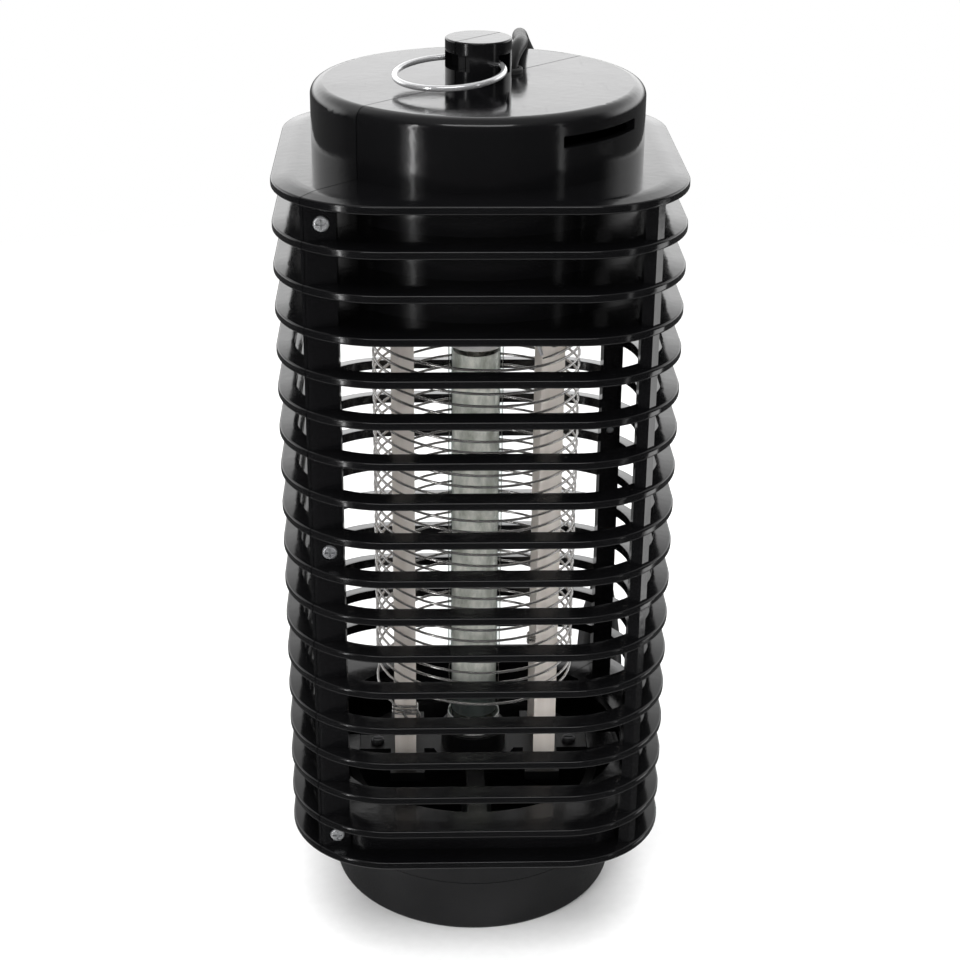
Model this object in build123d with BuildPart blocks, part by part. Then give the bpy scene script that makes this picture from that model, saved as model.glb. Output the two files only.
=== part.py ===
"""Electric bug zapper with a lantern body: a finned two-half housing around an ultraviolet tube
and a double wire coil, with a hanging ring on top and a pull-off collection tray underneath.

Units are millimetres. The origin is the centre of the tray's flat underside, +Z is up, and the
front of the object faces -Y. The housing splits on the upright plane x = y, from its front-left
corner to its back-right corner.
"""

import os
from math import cos, radians, sin, sqrt

from build123d import *

# ---- driving dimensions -------------------------------------------------------------------
FIN_HALF = 55.0          # half width of a square fin
FIN_CORNER_R = 30.0
FIN_PITCH = 11.6
LAST_PITCH = 10.7        # the lowest gap is a little smaller
FIN_COUNT = 18
FLANGE_Z = 229.0         # top edge of the uppermost fin
LIP_T = 2.25             # thickness of a fin at its outer edge
LIP_RISE = 0.75          # a fin's top climbs this much from its edge to its inner band
LIP_W = 4.9              # width of that slope
EDGE_R = 0.6             # rounding of both outer edges of a fin
LIP_BLEND_R = 18.0       # softens the break between a fin's flat and its lip
CLEAR = 0.1              # gap between pieces that only have to miss each other
RUNNING = 0.05           # radial gap of a running fit
THROUGH = 1.0            # extra length that takes a cut clean through

FIRST_OPEN_FIN = 4       # fins 4 to 15 are open rings
LAST_OPEN_FIN = 15
FLOOR_FIN = 16
BASE_FIN = 17
FLOOR_HOLE_R = 46.0
BASE_HOLE_R = 39.0

DRUM_R = 45.4
DRUM_TOP = FLANGE_Z + 19.4
DRUM_EDGE_R = 3.4
WALL = 2.4
ROOF_T = 2.2
POST_R = 9.0
POST_TOP = FLANGE_Z + 30.8
POST_EDGE_R = 0.5
VENT_Z = FLANGE_Z + 11.0
VENT_H = 3.0
VENT_START = -63.2       # where the vent slot begins, in degrees from +X
VENT_ARC = 36.2
SEAM_GAP = 0.28          # groove between the two housing halves

COLUMN_OUTER = 46.5      # outer face of every corner column, from the axis
COLUMN_INNER_WIDE = 37.2
COLUMN_INNER_NARROW = 40.5
COLUMN_INNER_SLIM = 41.5
COLUMN_BEVEL = 1.9

SCREW_HEAD_R = 2.1
SCREW_HEAD_H = 1.3
SCREW_SHANK_R = 1.4
SCREW_SHANK_L = 7.2
SCREW_X_FRONT = -41.0
SCREW_X_BACK = 43.5
SCREW_SINK_GAP = 0.15    # between a head and its counterbore
PILOT_GAP = 0.02
COUNTERBORE_DEPTH = 1.0
PILOT_DEPTH = 9.3

RING_R = 14.5            # centre line of the hanging ring
RING_WIRE_R = 0.8
RING_REACH = 13.0        # distance from the hinge line to the ring's centre
RING_HEADING = -38.0     # degrees from the front, towards the left
RING_DROOP = 5.0         # degrees below level when lying down
RING_HINGE_Z = FLANGE_Z + 24.7
RING_SLOT = 5.2          # width and height of the slot the ring turns in
POCKET_HEADING = -52.0
POCKET_W = 10.4
POCKET_H = 4.4
POCKET_Z = FLANGE_Z + 25.3
POCKET_FLOOR = 5.0       # distance from the axis to the pocket's floor

CORD_R = 2.1
CORD_XY = 9.0            # the cord leaves the roof at x = y = 9
GROMMET_NECK_R = 3.0
GROMMET_RIM_R = 3.55
GROMMET_RIM_T = 1.3

TUBE_R = 8.0
LAMP_TOP = FLANGE_Z - 49.0
LAMP_LENGTH = 136.0
LAMP_BOTTOM = LAMP_TOP - LAMP_LENGTH
CAP_L = 7.0
PIN_SPACING = 4.75
PIN_R = 1.18
PIN_L = 7.1

HOLDER_R = 10.0
HOLDER_LIP = 2.5         # how deep a lamp cap sits in its holder

BAR_X = 21.1
BAR_W = 6.4
BAR_T = 2.0
BAR_Y = 15.3
BAR_SOCKET = 1.4

COIL_R = 29.6
COIL_WIRE_R = 0.35
COIL_PITCH = 7.0
COIL_A_TURNS = 15.25
COIL_B_TURNS = 16.25
COIL_TOP = FLANGE_Z - 52.0
COIL_TOP_ANGLE = -53.5   # where coil A ends, counter-clockwise from +X

SPIDER_T = 3.0
SPIDER_Z = 36.5          # underside of the spider
SPIDER_HUB_R = 13.0
SPIDER_ARM_W = 8.0
SPIDER_ARM_END = 35.4
SPIDER_CROSS_W = 5.5
SPIDER_CROSS_END = 42.0
SPIDER_FRAME = 3.0       # how much the frame under the bars outgrows them
SPIDER_SCREW_X = 30.0
LEDGE_MID = 36.8         # middle and length of a ledge under an arm
LEDGE_L = 21.6
SHOULDER_MID = 41.6      # middle and length of a shoulder at an arm's end
SHOULDER_L = 12.0
TAB_L = 10.4

BASE_R = 43.35
TRAY_H = 16.7
TRAY_NECK_TOP = 26.5
TRAY_WALL = 2.0
COLLAR_BOTTOM = 16.9
COLLAR_BORE_R = 36.0
COLLAR_RIB_UP = 0.95     # underside of the collar's rib above the base plate's underside
COLLAR_RIB_OUT = 1.0
COLLAR_RIB_T = 1.0

DECK_T = 2.4
DECK_R = 42.7
BOARD_W = 58.0
BOARD_D = 44.0
BOARD_T = 1.6
STANDOFF_H = 4.0

# ---- sizes that follow --------------------------------------------------------------------
LEVELS = [FLANGE_Z - FIN_PITCH * i for i in range(FIN_COUNT - 1)]
LEVELS.append(LEVELS[-1] - LAST_PITCH)
PLATE_T = LIP_T + LIP_RISE
OPENING_HALF = FIN_HALF - LIP_W
OPENING_R = FIN_CORNER_R - LIP_W
DECK_FIN = FIRST_OPEN_FIN - 1
DECK_Z = LEVELS[DECK_FIN] + LIP_RISE
ROOM_R = DRUM_R - WALL
LEDGE_R = ROOM_R - 2.5
BASE_PLATE_BOTTOM = LEVELS[BASE_FIN] - LIP_T
BASE_PLATE_TOP = LEVELS[BASE_FIN] + LIP_RISE
FLOOR_BOTTOM = LEVELS[FLOOR_FIN] - LIP_T
SPIDER_TOP = SPIDER_Z + SPIDER_T
BOARD_Z = DECK_Z + DECK_T + STANDOFF_H
SCREW_HEIGHTS = [(LEVELS[i] - LIP_T + LEVELS[i + 1]) / 2 for i in (0, 8, 16)]
LOWER_WALL_HALF = 49.0
LOWER_WALL_R = 24.0

ring_forward = Vector(sin(radians(RING_HEADING)), -cos(radians(RING_HEADING)), 0)
ring_hinge = ring_forward.cross(Vector(0, 0, 1))

os.makedirs("parts", exist_ok=True)


def finish(builder, name):
    """Label a finished piece and write its file."""
    builder.part.label = name
    export_step(builder.part, f"parts/{name}.step")


def both_signs(distance):
    """The two values minus and plus a distance."""
    return (-distance, distance)


def rounded_square(half, radius, mode=Mode.ADD):
    """A rounded square about the axis, for use inside a sketch."""
    RectangleRounded(2 * half, 2 * half, radius, mode=mode)


def screw(head_r, head_h, shank_r, shank_l, slotted=False):
    """One screw standing on its tip: the head's underside is at z = 0 and the shank runs down."""
    recess_w = 0.28 * head_r
    recess_l = 1.25 * head_r
    with BuildPart() as body:
        with BuildSketch(Plane.XY):
            Circle(head_r)
        extrude(amount=head_h)
        fillet(body.edges().sort_by(Axis.Z)[-1], radius=0.55 * head_h)
        with BuildSketch(Plane.XY):
            Circle(shank_r)
        extrude(amount=-shank_l)
        chamfer(body.edges().sort_by(Axis.Z)[0], length=0.4 * shank_r)
        with BuildSketch(Plane.XY.offset(head_h)):
            Rectangle(recess_l, recess_w)
            if not slotted:
                Rectangle(recess_w, recess_l)
        extrude(amount=-0.6 * head_h, mode=Mode.SUBTRACT)
    return body.part


# ---- one fin: a rounded plate with a sloping lip, its underside at z = 0 ---------------------
with BuildPart() as fin_plate:
    with BuildSketch(Plane.XY):
        rounded_square(FIN_HALF, FIN_CORNER_R)
    extrude(amount=PLATE_T)
    inner_band = fin_plate.faces().sort_by(Axis.Z)[-1]
    chamfer(inner_band.edges(), length=LIP_W, length2=LIP_RISE, reference=inner_band)
    rim_levels = fin_plate.edges().group_by(Axis.Z)
    fillet(rim_levels[0] + rim_levels[2], radius=EDGE_R)
    fillet(fin_plate.faces().sort_by(Axis.Z)[-1].edges(), radius=LIP_BLEND_R)


# ---- the whole housing, before it is split ---------------------------------------------------
with BuildPart() as housing:
    for level in LEVELS:
        with Locations((0, 0, level - LIP_T)):
            add(fin_plate.part)

    # the tall opening through the open fins
    opening_bottom = LEVELS[LAST_OPEN_FIN] - LIP_T - THROUGH
    opening_top = LEVELS[FIRST_OPEN_FIN] + LIP_RISE + THROUGH
    with BuildSketch(Plane.XY.offset(opening_bottom)):
        rounded_square(OPENING_HALF, OPENING_R)
    extrude(amount=opening_top - opening_bottom, mode=Mode.SUBTRACT)

    # drum, and the round wall that carries it down through the closed fins
    drum_bottom = LEVELS[DECK_FIN] - LIP_T
    with BuildSketch(Plane.XY.offset(drum_bottom)):
        Circle(DRUM_R)
    extrude(amount=DRUM_TOP - drum_bottom)
    fillet(housing.faces().sort_by(Axis.Z)[-1].edges(), radius=DRUM_EDGE_R)

    # upper compartment, with a ledge below the deck and a retaining rib above it
    with BuildSketch(Plane.XY.offset(DECK_Z)):
        Circle(ROOM_R)
    extrude(amount=DRUM_TOP - ROOF_T - DECK_Z, mode=Mode.SUBTRACT)
    with BuildSketch(Plane.XY.offset(drum_bottom - THROUGH)):
        Circle(LEDGE_R)
    extrude(amount=DECK_Z - drum_bottom + 2 * THROUGH, mode=Mode.SUBTRACT)
    with BuildSketch(Plane.XY.offset(DECK_Z + DECK_T + CLEAR)):
        Circle(ROOM_R)
        Circle(LEDGE_R + 1, mode=Mode.SUBTRACT)
    extrude(amount=WALL / 2)

    # post for the hanging ring
    with BuildSketch(Plane.XY.offset(DRUM_TOP - ROOF_T)):
        Circle(POST_R)
    extrude(amount=POST_TOP - DRUM_TOP + ROOF_T)
    fillet(housing.faces().sort_by(Axis.Z)[-1].edges(), radius=POST_EDGE_R)
    slot_plane = Plane(origin=(0, 0, RING_HINGE_Z), x_dir=ring_forward, z_dir=ring_hinge)
    with BuildSketch(slot_plane):
        Rectangle(RING_SLOT, RING_SLOT)
    extrude(amount=2 * POST_R, both=True, mode=Mode.SUBTRACT)
    pocket_out = Vector(sin(radians(POCKET_HEADING)), -cos(radians(POCKET_HEADING)), 0)
    pocket_floor = pocket_out * POCKET_FLOOR + Vector(0, 0, POCKET_Z)
    with BuildSketch(Plane(origin=pocket_floor, x_dir=(0, 0, 1), z_dir=pocket_out)):
        Rectangle(POCKET_H, POCKET_W)
    extrude(amount=POST_R, mode=Mode.SUBTRACT)

    # vent slot in the drum's wall, facing front-right
    with BuildSketch(Plane.XY.offset(VENT_Z)):
        with BuildLine():
            vent_in = DRUM_R - 2 * WALL
            vent_out = DRUM_R + THROUGH
            outer_arc = CenterArc((0, 0), vent_out, VENT_START, VENT_ARC)
            inner_arc = CenterArc((0, 0), vent_in, VENT_START, VENT_ARC)
            Line(outer_arc @ 0, inner_arc @ 0)
            Line(outer_arc @ 1, inner_arc @ 1)
        make_face()
    extrude(amount=VENT_H, mode=Mode.SUBTRACT)

    # closed wall round the lowest gap, the floor's hole and the base's hole
    with BuildSketch(Plane.XY.offset(LEVELS[BASE_FIN])):
        rounded_square(LOWER_WALL_HALF, LOWER_WALL_R)
        rounded_square(LOWER_WALL_HALF - TRAY_WALL, LOWER_WALL_R - TRAY_WALL, mode=Mode.SUBTRACT)
    extrude(amount=LEVELS[FLOOR_FIN] - LIP_T + 0.5 - LEVELS[BASE_FIN])
    with BuildSketch(Plane.XY.offset(FLOOR_BOTTOM - THROUGH)):
        Circle(FLOOR_HOLE_R)
    extrude(amount=PLATE_T + 2 * THROUGH, mode=Mode.SUBTRACT)
    with BuildSketch(Plane.XY.offset(BASE_PLATE_BOTTOM - THROUGH)):
        Circle(BASE_HOLE_R)
    extrude(amount=PLATE_T + 2 * THROUGH, mode=Mode.SUBTRACT)
    with BuildSketch(Plane.XY.offset(BASE_PLATE_BOTTOM + COLLAR_RIB_UP - CLEAR)):
        Circle(BASE_HOLE_R + COLLAR_RIB_OUT + 2 * CLEAR)
    extrude(amount=COLLAR_RIB_T + 2 * CLEAR, mode=Mode.SUBTRACT)

    # four corner columns, bevelled on their outer corners
    with BuildSketch(Plane.XY.offset(LEVELS[BASE_FIN])):
        for sign_x, sign_y, inner_x, inner_y in (
            (-1, -1, COLUMN_INNER_WIDE, COLUMN_INNER_WIDE),
            (1, 1, COLUMN_INNER_NARROW, COLUMN_INNER_WIDE),
            (1, -1, COLUMN_INNER_SLIM, COLUMN_INNER_SLIM),
            (-1, 1, COLUMN_INNER_SLIM, COLUMN_INNER_SLIM),
        ):
            mid_x = sign_x * (COLUMN_OUTER + inner_x) / 2
            mid_y = sign_y * (COLUMN_OUTER + inner_y) / 2
            with Locations((mid_x, mid_y)):
                Rectangle(COLUMN_OUTER - inner_x, COLUMN_OUTER - inner_y)
        bevel_side = sqrt(2) * (2 * COLUMN_OUTER - COLUMN_BEVEL)
        Rectangle(bevel_side, bevel_side, rotation=45, mode=Mode.INTERSECT)
    extrude(amount=LEVELS[0] - LIP_T / 2 - LEVELS[BASE_FIN])

    # ledges under the spider's four arms, shoulders outside its two screwed arms, and two tabs
    with BuildSketch(Plane.XY.offset(BASE_PLATE_TOP - 0.2)):
        with PolarLocations(LEDGE_MID, 4):
            Rectangle(LEDGE_L, SPIDER_ARM_W + 1)
    extrude(amount=SPIDER_Z - BASE_PLATE_TOP + 0.2)
    with BuildSketch(Plane.XY.offset(SPIDER_Z)):
        with PolarLocations(SHOULDER_MID, 2):
            Rectangle(SHOULDER_L, SPIDER_ARM_W + 1)
    extrude(amount=SPIDER_T)
    with BuildSketch(Plane.XY.offset(FLOOR_BOTTOM)):
        with PolarLocations(SHOULDER_MID, 2, start_angle=90):
            Rectangle(TAB_L, SPIDER_CROSS_W)
    extrude(amount=PLATE_T)

    # holes: the cord's grommet, the spider's screws and the housing's screws
    with Locations(Plane.XY.offset(DRUM_TOP - ROOF_T / 2)):
        with Locations((CORD_XY, CORD_XY)):
            Cylinder(GROMMET_NECK_R + RUNNING, 2 * ROOF_T, mode=Mode.SUBTRACT)
    with Locations(*[(x, 0, SPIDER_Z) for x in both_signs(SPIDER_SCREW_X)]):
        Cylinder(SCREW_SHANK_R + PILOT_GAP, 12, mode=Mode.SUBTRACT)
    for height in SCREW_HEIGHTS:
        for x, y, turn in (
            (SCREW_X_FRONT, -COLUMN_OUTER, 90),
            (SCREW_X_BACK, COLUMN_OUTER, -90),
        ):
            with Locations(Location((x, y, height), (turn, 0, 0))):
                Cylinder(SCREW_HEAD_R + SCREW_SINK_GAP, 2 * COUNTERBORE_DEPTH, mode=Mode.SUBTRACT)
                Cylinder(SCREW_SHANK_R + PILOT_GAP, 2 * PILOT_DEPTH, mode=Mode.SUBTRACT)


# ---- the two halves, parted on the plane x = y with a narrow groove --------------------------
seam_normal = Vector(1, -1, 0).normalized()
with BuildPart() as housing_front_right:
    add(housing.part)
    split(bisect_by=Plane(seam_normal * (SEAM_GAP / 2), z_dir=seam_normal), keep=Keep.TOP)

with BuildPart() as housing_rear_left:
    add(housing.part)
    split(bisect_by=Plane(seam_normal * (-SEAM_GAP / 2), z_dir=seam_normal), keep=Keep.BOTTOM)

finish(housing_front_right, "housing_front_right_half")
finish(housing_rear_left, "housing_rear_left_half")


# ---- screws that hold the halves together ----------------------------------------------------
housing_screw = screw(SCREW_HEAD_R, SCREW_HEAD_H, SCREW_SHANK_R, SCREW_SHANK_L)
head_seat = COLUMN_OUTER - COUNTERBORE_DEPTH
with BuildPart() as housing_screws:
    for height in SCREW_HEIGHTS:
        with Locations(
            Location((SCREW_X_FRONT, -head_seat, height), (90, 0, 0)),
            Location((SCREW_X_BACK, head_seat, height), (-90, 0, 0)),
        ):
            add(housing_screw)
finish(housing_screws, "housing_screws")


# ---- hanging ring, lying down to the front-left ----------------------------------------------
ring_out = ring_forward * cos(radians(RING_DROOP)) - Vector(0, 0, sin(radians(RING_DROOP)))
ring_centre = Vector(0, 0, RING_HINGE_Z) + ring_out * RING_REACH
ring_plane = Plane(ring_centre, x_dir=ring_hinge, z_dir=ring_out.cross(ring_hinge))
with BuildPart() as hanging_ring:
    with Locations(ring_plane):
        Torus(RING_R, RING_WIRE_R)
finish(hanging_ring, "hanging_ring")


# ---- power cord, its grommet and its plug ----------------------------------------------------
def above_flange(x, y, height):
    """A point given by its height above the uppermost fin."""
    return (x, y, FLANGE_Z + height)


PLUG_X = 45.9
PLUG_Y = 67.5
PLUG_W = 14.0
PLUG_D = 26.0
PLUG_TOP = 60.0
PLUG_BOTTOM = 22.0
PLUG_PIN_R = 2.0
PLUG_PIN_SPACING = 19.0
PLUG_PIN_BOTTOM = 3.0

with BuildPart() as power_cord:
    with BuildLine() as cord_line:
        Spline(
            above_flange(CORD_XY, CORD_XY, -14),
            above_flange(CORD_XY, CORD_XY, 2),
            above_flange(CORD_XY, CORD_XY, 14),
            above_flange(CORD_XY, CORD_XY, 18),
            above_flange(CORD_XY, CORD_XY, 21.2),
            above_flange(10.4, 11.8, 24.4),
            above_flange(12.0, 17.0, 25.5),
            above_flange(12.6, 27.0, 24.5),
            above_flange(13.4, 42.0, 22.6),
            above_flange(16.5, 54.0, 15.0),
            above_flange(26.0, 62.5, 0.0),
            above_flange(38.0, 66.5, -22.0),
            above_flange(PLUG_X - 0.8, PLUG_Y, -52.0),
            above_flange(PLUG_X, PLUG_Y, -80.0),
            (PLUG_X, PLUG_Y, PLUG_TOP + 40),
            (PLUG_X, PLUG_Y, PLUG_TOP - 8),
            tangents=((0, 0, 1), (0, 0, -1)),
        )
    with BuildSketch(Plane(cord_line.line @ 0, z_dir=cord_line.line % 0)):
        Circle(CORD_R)
    sweep()
finish(power_cord, "power_cord")

with BuildPart() as cord_grommet:
    with BuildSketch(Plane.XY.offset(DRUM_TOP - ROOF_T - 1.2)):
        with Locations((CORD_XY, CORD_XY)):
            Circle(GROMMET_RIM_R)
    extrude(amount=1.2)
    with BuildSketch(Plane.XY.offset(DRUM_TOP - ROOF_T)):
        with Locations((CORD_XY, CORD_XY)):
            Circle(GROMMET_NECK_R)
    extrude(amount=ROOF_T)
    with BuildSketch(Plane.XY.offset(DRUM_TOP)):
        with Locations((CORD_XY, CORD_XY)):
            Circle(GROMMET_RIM_R)
    extrude(amount=GROMMET_RIM_T)
    fillet(cord_grommet.faces().sort_by(Axis.Z)[-1].edges(), radius=0.5)
    with Locations((CORD_XY, CORD_XY, DRUM_TOP)):
        Cylinder(CORD_R + 0.3, 6 * ROOF_T, mode=Mode.SUBTRACT)
finish(cord_grommet, "cord_grommet")

with BuildPart() as plug_body:
    with BuildSketch(Plane((PLUG_X, PLUG_Y, PLUG_BOTTOM))):
        RectangleRounded(PLUG_W, PLUG_D, 6.0)
    with BuildSketch(Plane((PLUG_X, PLUG_Y, PLUG_BOTTOM + 18))):
        RectangleRounded(PLUG_W - 1, PLUG_D - 1, 5.8)
    with BuildSketch(Plane((PLUG_X, PLUG_Y, PLUG_TOP))):
        Circle(CORD_R + 1.4)
    loft()
    fillet(plug_body.faces().sort_by(Axis.Z)[0].edges(), radius=1.2)
    with Locations((PLUG_X, PLUG_Y, PLUG_TOP)):
        Cylinder(CORD_R + CLEAR, 20, mode=Mode.SUBTRACT)
    with Locations(*[(PLUG_X, PLUG_Y + y, PLUG_BOTTOM) for y in both_signs(PLUG_PIN_SPACING / 2)]):
        Cylinder(PLUG_PIN_R + PILOT_GAP, 12, mode=Mode.SUBTRACT)
finish(plug_body, "plug_body")

with BuildPart() as plug_pins:
    pin_length = PLUG_BOTTOM + 6 - PLUG_PIN_BOTTOM
    pin_middle = PLUG_PIN_BOTTOM + pin_length / 2
    with Locations(*[(PLUG_X, PLUG_Y + y, pin_middle) for y in both_signs(PLUG_PIN_SPACING / 2)]):
        Cylinder(PLUG_PIN_R, pin_length)
    fillet(plug_pins.edges().group_by(Axis.Z)[0], radius=1.2)
finish(plug_pins, "plug_pins")


# ---- deck plate that closes the upper compartment and carries the board ----------------------
BOARD_HOLE_X = BOARD_W / 2 - 4
BOARD_HOLE_Y = BOARD_D / 2 - 4
LAMP_LEAD_R = 0.6
LAMP_LEAD_X = 6.0
LONG_LEAD_XY = (-BAR_X, BAR_Y - BAR_T / 2 - 1.2)
GRID_LEAD_R = 0.5
grid_lead_exit = Vector(10.0, -12.0, DECK_Z)
board_holes = [(x, y) for x in both_signs(BOARD_HOLE_X) for y in both_signs(BOARD_HOLE_Y)]
bar_places = [(x, y) for x in both_signs(BAR_X) for y in both_signs(BAR_Y)]
short_leads = [(x, 0) for x in both_signs(LAMP_LEAD_X)]

with BuildPart() as deck_plate:
    with BuildSketch(Plane.XY.offset(DECK_Z)):
        Circle(DECK_R)
    extrude(amount=DECK_T)
    with BuildSketch(Plane.XY.offset(DECK_Z + DECK_T)):
        with Locations(*board_holes):
            Circle(3.0)
    extrude(amount=STANDOFF_H)
    with Locations(*[(x, y, BOARD_Z) for x, y in board_holes]):
        Cylinder(1.1, 10, mode=Mode.SUBTRACT)
    with BuildSketch(Plane.XY.offset(DECK_Z)):
        with Locations(*bar_places):
            Rectangle(BAR_W + CLEAR, BAR_T + CLEAR)
    extrude(amount=BAR_SOCKET, mode=Mode.SUBTRACT)
    with Locations(*[(x, y, DECK_Z) for x, y in short_leads + [LONG_LEAD_XY]]):
        Cylinder(LAMP_LEAD_R + CLEAR, 3 * DECK_T, mode=Mode.SUBTRACT)
    with Locations(grid_lead_exit, (-grid_lead_exit.X, -grid_lead_exit.Y, DECK_Z)):
        Cylinder(GRID_LEAD_R + 1.0, 3 * DECK_T, mode=Mode.SUBTRACT)
finish(deck_plate, "deck_plate")


# ---- circuit board, its screws and its components --------------------------------------------
with BuildPart() as circuit_board:
    with BuildSketch(Plane.XY.offset(BOARD_Z)):
        RectangleRounded(BOARD_W, BOARD_D, 2.0)
        with Locations(*board_holes):
            Circle(1.3, mode=Mode.SUBTRACT)
    extrude(amount=BOARD_T)
finish(circuit_board, "circuit_board")

board_screw = screw(2.2, 1.2, 1.05, 4.6)
with BuildPart() as board_screws:
    with Locations(*[(x, y, BOARD_Z + BOARD_T) for x, y in board_holes]):
        add(board_screw)
finish(board_screws, "board_screws")

BOARD_TOP = BOARD_Z + BOARD_T
with BuildPart() as film_capacitors:
    with BuildSketch(Plane.XY.offset(BOARD_TOP)):
        with Locations((-16, 12), (-16, -1), (3, 14)):
            RectangleRounded(13.0, 6.0, 1.0)
    extrude(amount=10.5)
    fillet(film_capacitors.edges().group_by(Axis.Z)[-1], radius=0.7)
finish(film_capacitors, "film_capacitors")

with BuildPart() as smoothing_capacitor:
    with BuildSketch(Plane.XY.offset(BOARD_TOP)):
        with Locations((20, -3)):
            Circle(5.0)
    extrude(amount=15.0)
    fillet(smoothing_capacitor.edges().sort_by(Axis.Z)[-1], radius=0.6)
finish(smoothing_capacitor, "smoothing_capacitor")

with BuildPart() as rectifier_diodes:
    with Locations(*[Location((x, 5.0, BOARD_TOP + 1.4), (90, 0, 0)) for x in (-5, -1, 3, 7)]):
        Cylinder(1.35, 5.2)
finish(rectifier_diodes, "rectifier_diodes")

with BuildPart() as resistors:
    with Locations(*[Location((x, -14.5, BOARD_TOP + 1.7), (0, 90, 0)) for x in (-13, 0, 13)]):
        Cylinder(1.6, 8.5)
    fillet(resistors.edges(), radius=0.6)
finish(resistors, "resistors")


# ---- lamp holders ----------------------------------------------------------------------------
pin_places = [(x, 0) for x in both_signs(PIN_SPACING / 2)]
holder_top_rim = LAMP_TOP - HOLDER_LIP
with BuildPart() as upper_lamp_holder:
    with BuildSketch(Plane.XY.offset(holder_top_rim)):
        Circle(HOLDER_R)
    extrude(amount=DECK_Z - holder_top_rim)
    chamfer(upper_lamp_holder.edges().sort_by(Axis.Z)[0], length=0.5)
    with BuildSketch(Plane.XY.offset(holder_top_rim)):
        Circle(TUBE_R + 0.3)
    extrude(amount=HOLDER_LIP, mode=Mode.SUBTRACT)
    with Locations(*[(x, 0, LAMP_TOP) for x, _ in pin_places]):
        Cylinder(PIN_R + CLEAR, 2 * PIN_L + 1, mode=Mode.SUBTRACT)
    with Locations(*[(x, y, DECK_Z) for x, y in short_leads]):
        Cylinder(LAMP_LEAD_R + CLEAR, 6, mode=Mode.SUBTRACT)
finish(upper_lamp_holder, "upper_lamp_holder")

with BuildPart() as lower_lamp_holder:
    with BuildSketch(Plane.XY.offset(SPIDER_TOP)):
        Circle(HOLDER_R)
    extrude(amount=LAMP_BOTTOM + HOLDER_LIP - SPIDER_TOP)
    chamfer(lower_lamp_holder.edges().sort_by(Axis.Z)[-1], length=0.5)
    with BuildSketch(Plane.XY.offset(LAMP_BOTTOM)):
        Circle(TUBE_R + 0.3)
    extrude(amount=HOLDER_LIP, mode=Mode.SUBTRACT)
    with Locations(*[(x, 0, LAMP_BOTTOM) for x, _ in pin_places]):
        Cylinder(PIN_R + CLEAR, 2 * PIN_L + 6, mode=Mode.SUBTRACT)
finish(lower_lamp_holder, "lower_lamp_holder")


# ---- the tube: glass, coating, caps, pins and cathodes ---------------------------------------
GLASS_WALL = 0.9
CAP_WALL = 0.4
CAP_GAP = 0.05
neck_r = TUBE_R - CAP_WALL - CAP_GAP
glass_low = LAMP_BOTTOM + CAP_WALL + 0.6
glass_high = LAMP_TOP - CAP_WALL - 0.6
neck_low = LAMP_BOTTOM + CAP_L + CAP_GAP
neck_high = LAMP_TOP - CAP_L - CAP_GAP
with BuildPart() as lamp_glass:
    with BuildSketch(Plane.XZ):
        with BuildLine():
            Polyline(
                (0, glass_low), (neck_r, glass_low), (neck_r, neck_low), (TUBE_R, neck_low + 0.6),
                (TUBE_R, neck_high - 0.6), (neck_r, neck_high), (neck_r, glass_high), (0, glass_high),
                (0, glass_high - GLASS_WALL), (neck_r - GLASS_WALL, glass_high - GLASS_WALL),
                (neck_r - GLASS_WALL, neck_high - 0.6), (TUBE_R - GLASS_WALL, neck_high - 1.2),
                (TUBE_R - GLASS_WALL, neck_low + 1.2), (neck_r - GLASS_WALL, neck_low + 0.6),
                (neck_r - GLASS_WALL, glass_low + GLASS_WALL), (0, glass_low + GLASS_WALL),
                close=True,
            )
        make_face()
    revolve(axis=Axis.Z)
finish(lamp_glass, "lamp_glass")

COATING_BOTTOM = FLANGE_Z - 168.0
COATING_TOP = LAMP_TOP - CAP_L - 2.0
COATING_T = 0.25
with BuildPart() as lamp_phosphor:
    with BuildSketch(Plane.XY.offset(COATING_BOTTOM)):
        Circle(TUBE_R - GLASS_WALL - CAP_GAP)
        Circle(TUBE_R - GLASS_WALL - CAP_GAP - COATING_T, mode=Mode.SUBTRACT)
    extrude(amount=COATING_TOP - COATING_BOTTOM)
finish(lamp_phosphor, "lamp_phosphor")

with BuildPart() as lamp_end_caps:
    with BuildSketch(Plane.XY.offset(LAMP_BOTTOM)):
        Circle(TUBE_R)
    extrude(amount=CAP_L)
    with BuildSketch(Plane.XY.offset(LAMP_TOP - CAP_L)):
        Circle(TUBE_R)
    extrude(amount=CAP_L)
    fillet(lamp_end_caps.edges().group_by(Axis.Z)[0], radius=0.8)
    fillet(lamp_end_caps.edges().group_by(Axis.Z)[-1], radius=0.8)
    with BuildSketch(Plane.XY.offset(LAMP_BOTTOM + CAP_WALL)):
        Circle(TUBE_R - CAP_WALL)
    extrude(amount=LAMP_LENGTH - 2 * CAP_WALL, mode=Mode.SUBTRACT)
    with Locations(*[(x, 0, LAMP_BOTTOM + LAMP_LENGTH / 2) for x, _ in pin_places]):
        Cylinder(PIN_R + PILOT_GAP, LAMP_LENGTH + 2, mode=Mode.SUBTRACT)
finish(lamp_end_caps, "lamp_end_caps")

with BuildPart() as lamp_pins:
    pin_inset = CAP_WALL + 0.3
    with Locations(
        *[(x, 0, LAMP_TOP + PIN_L / 2 - pin_inset / 2) for x, _ in pin_places],
        *[(x, 0, LAMP_BOTTOM - PIN_L / 2 + pin_inset / 2) for x, _ in pin_places],
    ):
        Cylinder(PIN_R, PIN_L + pin_inset)
    fillet(lamp_pins.edges().group_by(Axis.Z)[0], radius=0.5)
    fillet(lamp_pins.edges().group_by(Axis.Z)[-1], radius=0.5)
finish(lamp_pins, "lamp_pins")

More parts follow.
